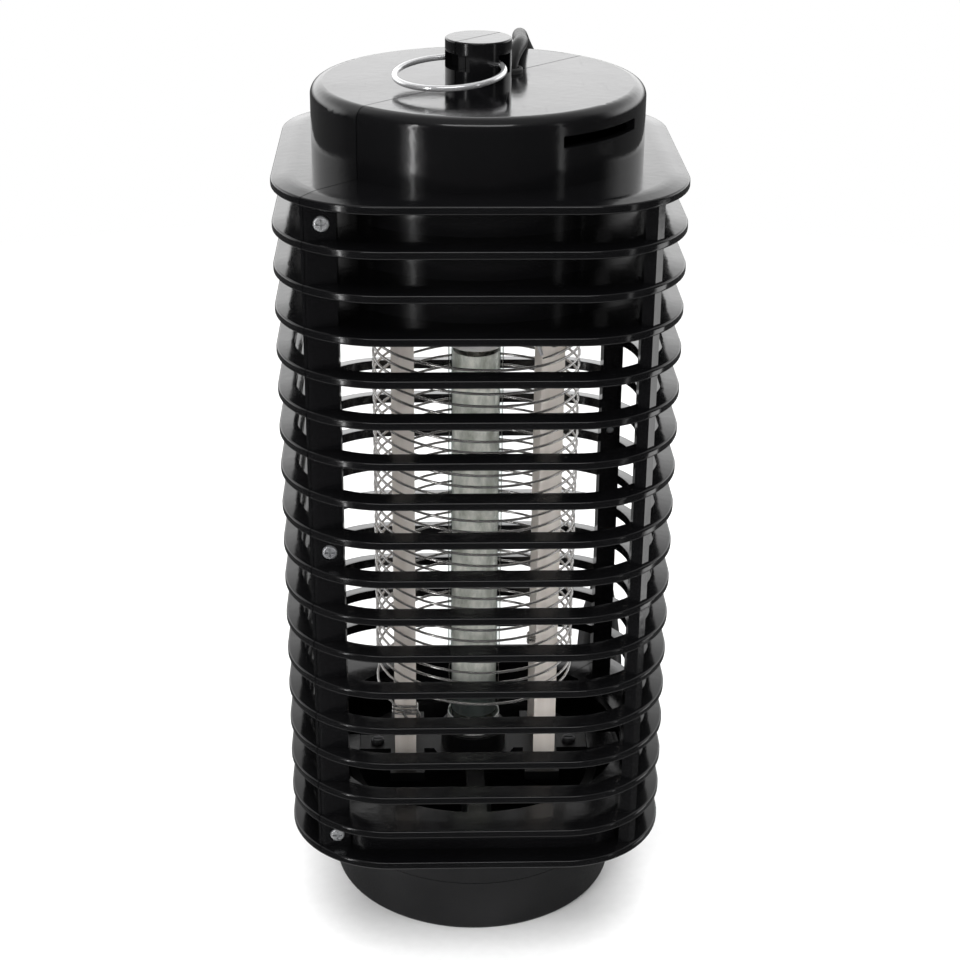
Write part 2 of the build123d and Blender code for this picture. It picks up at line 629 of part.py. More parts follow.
CATHODE_R = 2.6
CATHODE_H = 9.0
with BuildPart() as lamp_cathodes:
    with Locations(
        (0, 0, glass_low + GLASS_WALL + CATHODE_H / 2),
        (0, 0, glass_high - GLASS_WALL - CATHODE_H / 2),
    ):
        Cone(CATHODE_R, CATHODE_R * 0.6, CATHODE_H)
finish(lamp_cathodes, "lamp_cathodes")


# ---- electric grid: four insulating bars and two interleaved wire coils ----------------------
with BuildPart() as grid_bars:
    with BuildSketch(Plane.XY.offset(SPIDER_TOP - BAR_SOCKET)):
        with Locations(*bar_places):
            Rectangle(BAR_W, BAR_T)
    extrude(amount=DECK_Z + BAR_SOCKET - CLEAR - SPIDER_TOP + BAR_SOCKET)
finish(grid_bars, "grid_bars")



def coil(turns, top_angle):
    """A left-handed wire coil hanging from its top end, which is at the given angle from +X."""
    height = COIL_PITCH * turns
    with BuildPart() as straight:
        with BuildLine(Plane.XY.offset(COIL_TOP - height)) as path:
            Helix(COIL_PITCH, height, COIL_R, lefthand=True)
        with BuildSketch(Plane(path.line @ 0, z_dir=path.line % 0)):
            Circle(COIL_WIRE_R)
        sweep(is_frenet=True)
    with BuildPart() as turned:
        with Locations(Location((0, 0, 0), (0, 0, top_angle + 360 * turns))):
            add(straight.part)
    return turned


grid_coil_a = coil(COIL_A_TURNS, COIL_TOP_ANGLE)
finish(grid_coil_a, "grid_coil_a")
grid_coil_b = coil(COIL_B_TURNS, COIL_TOP_ANGLE + 180)
finish(grid_coil_b, "grid_coil_b")

with BuildPart() as grid_leads:
    for side in (1, -1):
        lead_angle = radians(COIL_TOP_ANGLE)
        exit_point = Vector(side * grid_lead_exit.X, side * grid_lead_exit.Y, DECK_Z + 1)
        coil_end = Vector(side * COIL_R * cos(lead_angle), side * COIL_R * sin(lead_angle), COIL_TOP)
        coil_end = coil_end + (exit_point - coil_end).normalized() * (2 * COIL_WIRE_R + 0.2)
        with BuildLine() as lead_line:
            Polyline((exit_point.X, exit_point.Y, BOARD_Z - CLEAR), exit_point, coil_end)
        with BuildSketch(Plane(lead_line.line @ 0, z_dir=lead_line.line % 0)):
            Circle(GRID_LEAD_R)
        sweep(transition=Transition.ROUND)
finish(grid_leads, "grid_leads")

with BuildPart() as lamp_leads:
    with BuildSketch(Plane.XY.offset(DECK_Z - 2.5)):
        with Locations(*short_leads):
            Circle(LAMP_LEAD_R)
    extrude(amount=BOARD_Z - CLEAR - DECK_Z + 2.5)
    with BuildSketch(Plane.XY.offset(SPIDER_Z + 0.5)):
        with Locations(LONG_LEAD_XY):
            Circle(LAMP_LEAD_R)
    extrude(amount=BOARD_Z - CLEAR - SPIDER_Z - 0.5)
finish(lamp_leads, "lamp_leads")


# ---- spider that carries the lower holder and the bars ---------------------------------------
with BuildPart() as grid_spider:
    with BuildSketch(Plane.XY.offset(SPIDER_Z)):
        Rectangle(2 * BAR_X + BAR_W + SPIDER_FRAME, 2 * BAR_Y + BAR_T + SPIDER_FRAME)
        Rectangle(2 * BAR_X - BAR_W - 5, 2 * BAR_Y + BAR_T + SPIDER_FRAME + THROUGH, mode=Mode.SUBTRACT)
        Circle(SPIDER_HUB_R)
        Rectangle(SPIDER_CROSS_W, 2 * SPIDER_CROSS_END)
        Rectangle(2 * SPIDER_ARM_END, SPIDER_ARM_W)
    extrude(amount=SPIDER_T)
    with BuildSketch(Plane.XY.offset(SPIDER_TOP)):
        with Locations(*bar_places):
            Rectangle(BAR_W + CLEAR, BAR_T + CLEAR)
    extrude(amount=-BAR_SOCKET, mode=Mode.SUBTRACT)
    with Locations(*[(x, 0, SPIDER_Z) for x, _ in pin_places]):
        Cylinder(PIN_R + CLEAR, 4 * SPIDER_T, mode=Mode.SUBTRACT)
    with Locations((*LONG_LEAD_XY, SPIDER_Z)):
        Cylinder(LAMP_LEAD_R + CLEAR, 4 * SPIDER_T, mode=Mode.SUBTRACT)
    with Locations(*[(x, 0, SPIDER_Z) for x in both_signs(SPIDER_SCREW_X)]):
        Cylinder(SCREW_SHANK_R + CLEAR, 4 * SPIDER_T, mode=Mode.SUBTRACT)
finish(grid_spider, "grid_spider")

spider_screw = screw(SCREW_HEAD_R, SCREW_HEAD_H, SCREW_SHANK_R, 5.8, slotted=True)
with BuildPart() as spider_screws:
    with Locations(*[(x, 0, SPIDER_TOP) for x in both_signs(SPIDER_SCREW_X)]):
        add(spider_screw)
finish(spider_screws, "spider_screws")


# ---- fixed base collar and the collection tray -----------------------------------------------
neck_r_tray = BASE_R - TRAY_WALL - CLEAR
collar_bore = neck_r_tray + RUNNING
rib_bottom = BASE_PLATE_BOTTOM + COLLAR_RIB_UP
with BuildPart() as base_collar:
    with BuildSketch(Plane.XZ):
        with BuildLine():
            Polyline(
                (COLLAR_BORE_R, TRAY_NECK_TOP + 1.2),
                (collar_bore, TRAY_NECK_TOP + 1.2),
                (collar_bore, COLLAR_BOTTOM),
                (BASE_R, COLLAR_BOTTOM),
                (BASE_R, BASE_PLATE_BOTTOM),
                (BASE_HOLE_R - CLEAR, BASE_PLATE_BOTTOM),
                (BASE_HOLE_R - CLEAR, rib_bottom),
                (BASE_HOLE_R + COLLAR_RIB_OUT, rib_bottom),
                (BASE_HOLE_R + COLLAR_RIB_OUT, rib_bottom + COLLAR_RIB_T),
                (BASE_HOLE_R - CLEAR, rib_bottom + COLLAR_RIB_T),
                (BASE_HOLE_R - CLEAR, BASE_PLATE_TOP - 0.3),
                (COLLAR_BORE_R, BASE_PLATE_TOP - 0.3),
                close=True,
            )
        make_face()
    revolve(axis=Axis.Z)
finish(base_collar, "base_collar")

with BuildPart() as collection_tray:
    with BuildSketch(Plane.XY):
        Circle(BASE_R)
    extrude(amount=TRAY_H)
    fillet(collection_tray.edges().sort_by(Axis.Z)[0], radius=1.2)
    with BuildSketch(Plane.XY.offset(TRAY_H)):
        Circle(neck_r_tray)
    extrude(amount=TRAY_NECK_TOP - TRAY_H)
    chamfer(collection_tray.edges().sort_by(Axis.Z)[-1], length=0.4)
    with BuildSketch(Plane.XY.offset(TRAY_WALL)):
        Circle(neck_r_tray - TRAY_WALL)
    extrude(amount=TRAY_NECK_TOP - TRAY_WALL, mode=Mode.SUBTRACT)
finish(collection_tray, "collection_tray")
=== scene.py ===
"""Looks for the electric bug zapper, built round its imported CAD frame: metres, +Z up, -Y the front."""

import math

import bmesh
import bpy
from mathutils import Matrix, Vector


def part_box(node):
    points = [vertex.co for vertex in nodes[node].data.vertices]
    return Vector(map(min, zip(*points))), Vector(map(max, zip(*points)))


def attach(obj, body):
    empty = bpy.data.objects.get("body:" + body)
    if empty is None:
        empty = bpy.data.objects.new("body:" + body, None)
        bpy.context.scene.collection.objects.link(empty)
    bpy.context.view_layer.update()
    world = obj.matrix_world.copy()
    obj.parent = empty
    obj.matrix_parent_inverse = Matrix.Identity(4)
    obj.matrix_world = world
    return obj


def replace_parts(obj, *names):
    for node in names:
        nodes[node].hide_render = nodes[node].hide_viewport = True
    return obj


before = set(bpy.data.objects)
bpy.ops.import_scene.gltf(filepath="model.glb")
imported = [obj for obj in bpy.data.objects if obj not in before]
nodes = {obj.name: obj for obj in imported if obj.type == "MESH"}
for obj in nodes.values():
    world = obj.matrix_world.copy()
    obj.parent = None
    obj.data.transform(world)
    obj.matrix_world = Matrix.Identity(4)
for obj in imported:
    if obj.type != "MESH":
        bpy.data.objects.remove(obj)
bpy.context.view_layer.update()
scene = bpy.context.scene
MM = 0.001

# ---- driving values, millimetres unless said ------------------------------------------------
COATING_R = 6.85              # the lamp's powder coating as seen through its glass
COATING_WALL = 0.3
COATING_DROP = 8.6            # the dark film below the coating reaches down to the lamp's cap
COATING_FADE = 9.0            # over which the coating thins out at its lower end

COIL_PITCH = 7.0
COIL_TOP_ANGLE = -53.5        # where coil A ends, degrees from +X
COIL_STEPS = 48               # points per turn
COIL_LIFT = 1.6               # the turns between a coil's ends sit this much higher than an even helix
COIL_EASE = 0.3               # turns over which that lift and the hand-wound unevenness set in
COIL_BOW = 0.10               # unevenness in radius
COIL_SAG = 0.12               # unevenness in height, from turn to turn
COIL_RIPPLE = 0.08            # unevenness in height, between the bars
CAD_WIRE_R = 0.35
WIRE_R = 0.39
LOOP_WIRE_R = 0.28
WIRE_SIDES = 3                # subdivisions of a quarter of a wire's outline
WIRE_END = 0.55               # a wire's cut end, as a share of its radius
PATH_STEPS = 10               # points between two given ones on a smooth path

BAR_HALF_W = 3.2
BAR_T = 2.0
BAR_EDGE_R = 0.3
KNOT_TURNS = 2.6              # wire wound round a bar where a coil ends
KNOT_H = 3.2
KNOT_BELOW = 0.6              # the knot's top is this far below the coil's end
KNOT_SLACK = 0.45             # between the bar and the centre of the wire
KNOT_STEPS = 32               # points per turn
KNOT_SQUARENESS = 0.55        # 1 is an ellipse round the bar, 0 a rectangle

LATHE_STEPS = 96
SHARP_ANGLE = 38.0            # degrees; edges sharper than this aren't smoothed

# ---- studio, metres and degrees --------------------------------------------------------------
FLOOR_HALF = 4.0
FLOOR_FADE_START = 0.30       # distance from the object's axis at which the floor starts to turn white
FLOOR_FADE_END = 0.70

CAMERA_PLACE = (-0.01662, -0.51700, 0.36511)
CAMERA_HEADING = 1.841        # from +Y towards +X
CAMERA_PITCH = 24.475         # below level
CAMERA_ROLL = 0.435
CAMERA_LENS = 72.19           # millimetres
CAMERA_SENSOR = 36.0          # millimetres
CAMERA_SHIFT = 0.00504        # share of the sensor's width

LIGHT_AIM = 0.12              # height at which the lights point
WORLD_STRENGTH = 2.2
BEHIND_START = 0.02           # how far behind a direction points, from -1 to 1, where the backdrop sets in
BEHIND_END = 0.45
# grey levels by the height of a direction, from -1 straight down to 1 straight up
BACKDROP = [(-1.0, 0.25), (-0.5, 0.05), (-0.08, 0.05), (0.03, 0.60), (0.08, 0.95), (0.24, 0.95),
            (0.52, 0.42), (1.0, 0.16)]
ROOM = [(-1.0, 0.30), (-0.86, 0.24), (-0.62, 0.035), (-0.3, 0.02), (0.5, 0.03), (0.8, 0.12), (1.0, 0.16)]

# sockets of Blender's colour mix node, which have no names of their own
MIX_FACTOR, MIX_FIRST, MIX_SECOND, MIX_RESULT = 0, 6, 7, 2


# ---- material helpers ------------------------------------------------------------------------
class Nodes:
    """A node tree under construction, with short names for the nodes it needs."""

    def __init__(self, tree):
        self.tree = tree

    def node(self, kind, settings=None, **inputs):
        made = self.tree.nodes.new(kind)
        for key, value in (settings or {}).items():
            setattr(made, key, value)
        for key, value in inputs.items():
            self.put(made.inputs[key.replace("_", " ")], value)
        return made

    def put(self, socket, value):
        if isinstance(value, bpy.types.NodeSocket):
            self.tree.links.new(value, socket)
        else:
            socket.default_value = value

    def maths(self, operation, *values):
        made = self.node("ShaderNodeMath", {"operation": operation})
        for socket, value in zip(made.inputs, values):
            self.put(socket, value)
        return made.outputs["Value"]

    def levels(self, value, low, high, out_low, out_high, easing="LINEAR"):
        made = self.node("ShaderNodeMapRange", {"interpolation_type": easing}, Value=value, From_Min=low,
                         From_Max=high, To_Min=out_low, To_Max=out_high)
        return made.outputs["Result"]

    def tint(self, value, stops):
        """A colour ramp: stops are (position, (r, g, b))."""
        made = self.node("ShaderNodeValToRGB", Fac=value)
        ramp = made.color_ramp
        while len(ramp.elements) < len(stops):
            ramp.elements.new(0.5)
        for element, (position, colour) in zip(ramp.elements, stops):
            element.position = position
            element.color = (*colour, 1.0)
        return made.outputs["Color"]

    def mix_colours(self, amount, first, second, blend="MIX"):
        made = self.node("ShaderNodeMix", {"data_type": "RGBA", "blend_type": blend})
        for index, value in ((MIX_FACTOR, amount), (MIX_FIRST, first), (MIX_SECOND, second)):
            self.put(made.inputs[index], value)
        return made.outputs[MIX_RESULT]

    def mix_shaders(self, amount, first, second):
        made = self.node("ShaderNodeMixShader")
        for socket, value in zip(made.inputs, (amount, first, second)):
            self.put(socket, value)
        return made.outputs["Shader"]


class Look(Nodes):
    """One procedural material: a principled shader, patterned in the object's own coordinates."""

    def __init__(self, name):
        self.material = bpy.data.materials.new(name)
        self.material.use_nodes = True
        super().__init__(self.material.node_tree)
        self.shader = self.tree.nodes["Principled BSDF"]
        self.surface = self.tree.nodes["Material Output"].inputs["Surface"]
        self.place = self.tree.nodes.new("ShaderNodeTexCoord").outputs["Object"]

    def set(self, **inputs):
        for key, value in inputs.items():
            self.put(self.shader.inputs[key.replace("_", " ")], value)

    def stretched(self, x, y, z):
        """The object's own coordinates scaled along each axis, so that a pattern runs along one."""
        return self.node("ShaderNodeMapping", Vector=self.place, Scale=(x, y, z)).outputs["Vector"]

    def noise(self, scale, detail=4.0, rough=0.5, where=None):
        made = self.node("ShaderNodeTexNoise", Vector=where or self.place, Scale=scale, Detail=detail,
                         Roughness=rough)
        return made.outputs["Fac"]

    def along(self, axis):
        return self.node("ShaderNodeSeparateXYZ", Vector=self.place).outputs[axis]

    def relief(self, height, strength, depth, below=None):
        """Bump from a height; depth is in metres."""
        made = self.node("ShaderNodeBump", Strength=strength, Distance=depth, Height=height)
        if below is not None:
            self.put(made.inputs["Normal"], below)
        return made.outputs["Normal"]


def gloss_abs():
    """Gloss black ABS: faint flow variation, fine orange peel, a few soft scuffs."""
    look = Look("gloss_black_abs")
    flow = look.noise(28.0, 3.0, where=look.stretched(1.0, 1.0, 0.35))
    streaks = look.noise(900.0, 2.0, 0.6, look.stretched(1.0, 0.08, 0.3))
    scuffs = look.levels(streaks, 0.62, 0.72, 0.0, 1.0)
    smooth = look.levels(look.noise(60.0, rough=0.55), 0.35, 0.7, 0.10, 0.17)
    peel = look.relief(look.noise(420.0, 2.0, 0.4), 0.05, 0.0004)
    grain = look.relief(look.noise(3500.0, 2.0), 0.03, 0.00008, peel)
    look.set(Base_Color=look.tint(flow, [(0.3, (0.0020, 0.0020, 0.0023)), (0.75, (0.0034, 0.0034, 0.0037))]),
             Roughness=look.maths("MULTIPLY_ADD", scuffs, 0.05, smooth), Normal=grain, IOR=1.52)
    return look.material


def matte_plastic(name, dark, light, rough=0.5, grain=1500.0, depth=0.00012, shine=0.5):
    """Moulded plastic with a fine even grain; shine scales its reflections, 0.5 being usual."""
    look = Look(name)
    cloud = look.noise(45.0, 3.0)
    fine = look.noise(grain, 2.0, 0.6)
    coarse = look.noise(grain * 0.28, 2.0)
    normal = look.relief(coarse, 0.16, depth, look.relief(fine, 0.35, depth))
    look.set(Base_Color=look.tint(cloud, [(0.3, dark), (0.7, light)]),
             Roughness=look.levels(fine, 0.3, 0.7, rough - 0.07, rough + 0.07), Normal=normal, IOR=1.48,
             Specular_IOR_Level=shine)
    return look.material


def metal(name, dark, light, rough, scratch=(1.0, 1.0, 0.06), scale=1400.0, pure=0.8):
    """Bright metal with fine drawn or turned scratches; pure is its metallic share."""
    look = Look(name)
    lines = look.noise(scale, 3.0, 0.6, look.stretched(*scratch))
    cloud = look.noise(160.0, 3.0)
    look.set(Base_Color=look.tint(cloud, [(0.3, dark), (0.7, light)]), Metallic=pure,
             Roughness=look.levels(lines, 0.3, 0.7, rough * 0.7, rough * 1.4),
             Normal=look.relief(lines, 0.12, 0.00005))
    return look.material


def bar_plastic():
    """Off-white insulating bar: satin, faint lengthwise streaks and a few handling marks."""
    look = Look("bar_off_white")
    streak = look.noise(260.0, rough=0.55, where=look.stretched(1.0, 1.0, 0.05))
    marks = look.levels(look.noise(140.0, 5.0, 0.65), 0.62, 0.78, 0.0, 0.35)
    base = look.tint(streak, [
        (0.25, (0.50, 0.455, 0.415)), (0.55, (0.60, 0.555, 0.515)), (0.8, (0.66, 0.62, 0.58)),
    ])
    look.set(Base_Color=look.mix_colours(marks, base, (0.62, 0.56, 0.50, 1.0), "MULTIPLY"),
             Roughness=look.levels(streak, 0.3, 0.7, 0.34, 0.46),
             Normal=look.relief(streak, 0.10, 0.00015), IOR=1.5, Subsurface_Weight=0.08,
             Subsurface_Radius=(0.002, 0.0016, 0.0012))
    return look.material


def tube_glass():
    """Clear tube glass: see-through face-on, a little grey and reflective at its rim."""
    look = Look("clear_tube_glass")
    facing = look.node("ShaderNodeLayerWeight", Blend=0.30).outputs["Facing"]
    tint = look.tint(facing, [
        (0.0, (0.98, 0.985, 0.98)), (0.42, (0.94, 0.955, 0.95)), (0.60, (0.66, 0.69, 0.68)),
        (0.78, (0.26, 0.29, 0.28)),
    ])
    clear = look.node("ShaderNodeBsdfTransparent", Color=tint).outputs["BSDF"]
    waves = look.noise(90.0, 2.0, 0.4, look.stretched(1.0, 1.0, 0.15))
    shine = look.node("ShaderNodeBsdfGlossy", Roughness=0.05, Normal=look.relief(waves, 0.08, 0.0003))
    fresnel = look.node("ShaderNodeFresnel", IOR=1.52).outputs["Fac"]
    inside = look.node("ShaderNodeNewGeometry").outputs["Backfacing"]
    amount = look.maths("MULTIPLY", fresnel, look.levels(inside, 0.0, 1.0, 0.7, 0.0))
    look.put(look.surface, look.mix_shaders(amount, clear, shine.outputs["BSDF"]))
    return look.material


def phosphor():
    """Pale coating with soft vertical mottling that thins out to dark grey at the lower end."""
    look = Look("phosphor_coating")
    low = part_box("lamp_phosphor")[0].z
    fade = look.levels(look.along("Z"), low, low + COATING_FADE * MM, 0.0, 1.0)
    mottle = look.noise(300.0, 5.0, 0.60, look.stretched(1.0, 1.0, 0.45))
    pale = look.tint(mottle, [
        (0.32, (0.36, 0.36, 0.32)), (0.5, (0.60, 0.60, 0.56)), (0.68, (0.88, 0.85, 0.80)),
    ])
    look.set(Base_Color=look.mix_colours(fade, (0.045, 0.052, 0.050, 1.0), pale),
             Roughness=look.levels(mottle, 0.3, 0.7, 0.30, 0.55),
             Normal=look.relief(mottle, 0.30, 0.0005), IOR=1.5)
    return look.material


def laminate():
    """Green board lacquer over a faint woven glass cloth, with a hint of copper tracks."""
    look = Look("green_laminate")
    weave = look.node("ShaderNodeTexChecker", Vector=look.place, Scale=1600.0).outputs["Fac"]
    tracks = look.noise(70.0, 0.0, 0.0, look.stretched(1.0, 3.0, 1.0))
    look.set(Base_Color=look.tint(tracks, [(0.45, (0.010, 0.075, 0.030)), (0.55, (0.020, 0.125, 0.050))]),
             Roughness=look.levels(weave, 0.0, 1.0, 0.28, 0.36), Normal=look.relief(weave, 0.08, 0.00005))
    return look.material


def banded(name, body, band, period):
    """A lacquered component with painted bands round it; period is in metres."""
    look = Look(name)
    wave = look.maths("PINGPONG", look.along("X"), period)
    speckle = look.noise(900.0, 2.0)
    look.set(Base_Color=look.tint(look.levels(wave, 0.0, period, 0.0, 1.0),
                                  [(0.0, band), (0.22, band), (0.26, body), (1.0, body)]),
             Roughness=look.levels(speckle, 0.3, 0.7, 0.32, 0.48), Normal=look.relief(speckle, 0.1, 0.00008))
    return look.material


# ---- shape helpers ---------------------------------------------------------------------------
def add_object(name, data, look_material):
    made = bpy.data.objects.new(name, data)
    scene.collection.objects.link(made)
    data.materials.append(look_material)
    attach(made, "housing")
    return made


def wire(name, paths, radius):
    """One or more bent steel wires. Each path is a list of points in millimetres."""
    curve = bpy.data.curves.new(name, "CURVE")
    curve.dimensions = "3D"
    curve.bevel_depth = radius * MM
    curve.bevel_resolution = WIRE_SIDES
    curve.use_fill_caps = True
    for path in paths:
        spline = curve.splines.new("POLY")
        spline.points.add(len(path) - 1)
        for point, place in zip(spline.points, path):
            point.co = (*(Vector(place) * MM), 1.0)
        spline.points[0].radius = WIRE_END
        spline.points[-1].radius = WIRE_END
        spline.use_smooth = True
    return add_object(name, curve, grid_steel)


def smooth_path(points):
    """A Catmull-Rom curve through the points."""
    points = [Vector(p) for p in points]
    ends = [points[0] * 2 - points[1]] + points + [points[-1] * 2 - points[-2]]
    path = []
    for a, b, c, d in zip(ends, ends[1:], ends[2:], ends[3:]):
        for step in range(PATH_STEPS):
            t = step / PATH_STEPS
            path.append(0.5 * (2 * b + (c - a) * t + (2 * a - 5 * b + 4 * c - d) * t * t
                               + (3 * b - a - 3 * c + d) * t ** 3))
    return path + [points[-1]]


def lathe(name, profile, look_material):
    """A ring turned about the Z axis from a closed outline of (radius, height) points in millimetres."""
    mesh = bpy.data.meshes.new(name)
    work = bmesh.new()
    rings = []
    for radius, height in profile:
        ring = []
        for step in range(LATHE_STEPS):
            angle = 2 * math.pi * step / LATHE_STEPS
            place = Vector((radius * math.cos(angle), radius * math.sin(angle), height))
            ring.append(work.verts.new(place * MM))
        rings.append(ring)
    for low, high in zip(rings, rings[1:] + rings[:1]):
        for step in range(LATHE_STEPS):
            after = (step + 1) % LATHE_STEPS
            work.faces.new([low[step], low[after], high[after], high[step]])
    bmesh.ops.recalc_face_normals(work, faces=work.faces)
    for face in work.faces:
        face.smooth = True
    work.to_mesh(mesh)
    work.free()
    made = add_object(name, mesh, look_material)
    mesh.set_sharp_from_angle(angle=math.radians(SHARP_ANGLE))
    return made


# ---- materials -------------------------------------------------------------------------------
EVEN = (1.0, 1.0, 1.0)        # scratches that run in no direction

black_gloss = gloss_abs()
base_matte = matte_plastic("charcoal_matte", (0.011, 0.011, 0.0115), (0.016, 0.016, 0.0165), rough=0.40,
                           grain=1300.0, shine=0.2)
satin_black = matte_plastic("satin_black", (0.0025, 0.0025, 0.0028), (0.0045, 0.0045, 0.0048), rough=0.36,
                            grain=1700.0, depth=0.00008, shine=0.35)
cord_black = matte_plastic("cord_pvc", (0.006, 0.006, 0.006), (0.011, 0.011, 0.011), rough=0.40, grain=900.0,
                           depth=0.00010)
rubber_black = matte_plastic("grommet_rubber", (0.010, 0.010, 0.010), (0.016, 0.016, 0.016), rough=0.62,
                             grain=1800.0)
lead_grey = matte_plastic("lead_grey", (0.30, 0.30, 0.31), (0.42, 0.42, 0.43), rough=0.42)
film_red = matte_plastic("capacitor_red", (0.26, 0.045, 0.018), (0.36, 0.07, 0.03), rough=0.30, grain=700.0)
can_blue = matte_plastic("capacitor_sleeve", (0.012, 0.017, 0.045), (0.022, 0.028, 0.07), rough=0.28,
                         grain=900.0)
zinc = metal("zinc_plate", (0.50, 0.51, 0.53), (0.70, 0.71, 0.72), rough=0.30, scratch=EVEN, scale=700.0)
black_steel = metal("blackened_steel", (0.045, 0.045, 0.047), (0.085, 0.085, 0.09), rough=0.34, scratch=EVEN,
                    scale=800.0)
nickel = metal("nickel_wire", (0.66, 0.66, 0.67), (0.80, 0.80, 0.81), rough=0.17, scratch=(0.3, 0.3, 0.3),
               scale=900.0)
grid_steel = metal("grid_steel", (0.48, 0.465, 0.45), (0.62, 0.61, 0.60), rough=0.18, scratch=(0.2, 0.2, 1.0),
                   scale=240.0, pure=0.88)
brass = metal("brass", (0.62, 0.44, 0.18), (0.78, 0.60, 0.30), rough=0.22, scratch=(1.0, 1.0, 0.1),
              scale=1200.0)
cap_metal = metal("pressed_aluminium", (0.66, 0.66, 0.64), (0.84, 0.84, 0.82), rough=0.36,
                  scratch=(0.1, 0.1, 1.0), scale=1500.0, pure=0.5)
cathode_metal = metal("cathode_metal", (0.45, 0.42, 0.38), (0.70, 0.66, 0.60), rough=0.3)
bar_white = bar_plastic()
glass = tube_glass()
coating = phosphor()
board_green = laminate()
diode_black = banded("diode_epoxy", (0.012, 0.012, 0.012), (0.55, 0.55, 0.56), period=0.0021)
resistor_tan = banded("resistor_lacquer", (0.42, 0.31, 0.18), (0.20, 0.05, 0.02), period=0.0019)

CAD_LOOKS = {
    black_gloss: ("housing_front_right_half", "housing_rear_left_half"),
    zinc: ("housing_screws", "board_screws"),
    black_steel: ("spider_screws",),
    nickel: ("hanging_ring",),
    cord_black: ("power_cord", "plug_body"),
    rubber_black: ("cord_grommet",),
    brass: ("plug_pins", "lamp_pins"),
    satin_black: ("deck_plate", "upper_lamp_holder", "lower_lamp_holder", "grid_spider"),
    board_green: ("circuit_board",),
    film_red: ("film_capacitors",),
    can_blue: ("smoothing_capacitor",),
    diode_black: ("rectifier_diodes",),
    resistor_tan: ("resistors",),
    bar_white: ("grid_bars",),
    base_matte: ("base_collar", "collection_tray"),
    lead_grey: ("lamp_leads", "grid_leads"),
    glass: ("lamp_glass",),
    coating: ("lamp_phosphor",),
    cap_metal: ("lamp_end_caps",),
    cathode_metal: ("lamp_cathodes",),
    grid_steel: ("grid_coil_a", "grid_coil_b"),
}
for look_material, names in CAD_LOOKS.items():
    for name in names:
        piece = nodes[name]
        if not piece.material_slots:
            piece.data.materials.append(look_material)
        for material_slot in piece.material_slots:
            material_slot.material = look_material


# ---- the wire grid ---------------------------------------------------------------------------
def box_mm(name):
    """A CAD node's lowest and highest corner in millimetres."""
    low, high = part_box(name)
    return Vector(low) / MM, Vector(high) / MM


def coil_path(name, top_angle, phase):
    """A left-handed helix of drawn wire in a CAD coil's place. Each turn bows a little between the bars, at
    rates that don't repeat from turn to turn; phase keeps the two coils from bowing alike."""
    low, high = box_mm(name)
    centre_r = (high.x - low.x) / 2 - CAD_WIRE_R
    top = high.z - CAD_WIRE_R
    turns = (top - low.z - CAD_WIRE_R) / COIL_PITCH
    count = round(turns * COIL_STEPS)
    path = []
    for step in range(count + 1):
        down = turns * step / count
        angle = math.radians(top_angle + 360 * down)
        eased = min(1.0, down / COIL_EASE, (turns - down) / COIL_EASE)
        bow = COIL_BOW * math.sin(2.63 * down + phase) * math.sin(2 * angle + phase)
        sag = COIL_SAG * math.sin(1.7 * down + 2 * phase) + COIL_RIPPLE * math.sin(3 * angle + 0.9 * down)
        radius = centre_r + eased * bow
        height = top - COIL_PITCH * down + eased * (sag + COIL_LIFT)
        path.append((radius * math.cos(angle), radius * math.sin(angle), height))
    return path


def coil_end_z(name):
    return box_mm(name)[0].z + CAD_WIRE_R


def bar_knot(sign_x, sign_y, start, coil):
    """Wire wound round one bar below a coil's end. The bar is given by the signs of its x and y, and start is
    where the winding begins, in turns from +X."""
    bar_corner = box_mm("grid_bars")[1]
    bar_x = sign_x * (bar_corner.x - BAR_HALF_W)
    bar_y = sign_y * (bar_corner.y - BAR_T / 2)
    top = coil_end_z(coil) - KNOT_BELOW
    count = round(KNOT_TURNS * KNOT_STEPS)
    path = []
    for step in range(count + 1):
        angle = 2 * math.pi * (start + KNOT_TURNS * step / count)
        cos_a, sin_a = math.cos(angle), math.sin(angle)
        out_x = (BAR_HALF_W + KNOT_SLACK) * math.copysign(abs(cos_a) ** KNOT_SQUARENESS, cos_a)
        out_y = (BAR_T / 2 + KNOT_SLACK) * math.copysign(abs(sin_a) ** KNOT_SQUARENESS, sin_a)
        path.append((bar_x + out_x, bar_y + out_y, top - KNOT_H * step / count))
    return path


def below(height, points):
    """A smooth path through (x, y, drop) points, each that far below the height."""
    return smooth_path([(x, y, height - drop) for x, y, drop in points])


for coil, half_turns, phase in (("grid_coil_a", 0, 0.4), ("grid_coil_b", 1, 2.1)):
    path = coil_path(coil, COIL_TOP_ANGLE + 180 * half_turns, phase)
    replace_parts(wire(coil + "_wire", [path], WIRE_R), coil)

knot_tail = below(coil_end_z("grid_coil_b"), [
    (-18.0, -17.0, 1.6), (-16.9, -17.3, 3.2), (-17.2, -17.4, 5.0), (-18.8, -17.3, 5.6),
    (-20.6, -17.2, 4.6), (-21.6, -17.3, 3.0), (-20.4, -17.5, 2.2), (-18.9, -17.4, 2.9),
])
wire("grid_knot", [bar_knot(-1, -1, 0.5, "grid_coil_b"), knot_tail], WIRE_R)
wire("grid_knot_rear", [bar_knot(1, 1, 0.0, "grid_coil_a")], WIRE_R)

loop = below(box_mm("deck_plate")[0].z, [
    (17.0, -17.4, 0), (17.6, -17.6, 8.0), (18.9, -17.9, 14.2), (20.6, -18.0, 16.6), (22.6, -18.0, 15.8),
    (24.2, -17.8, 13.0), (25.2, -16.6, 9.0), (25.0, -14.8, 4.0), (24.6, -14.0, 0),
])
wire("grid_loop", [loop], LOOP_WIRE_R)


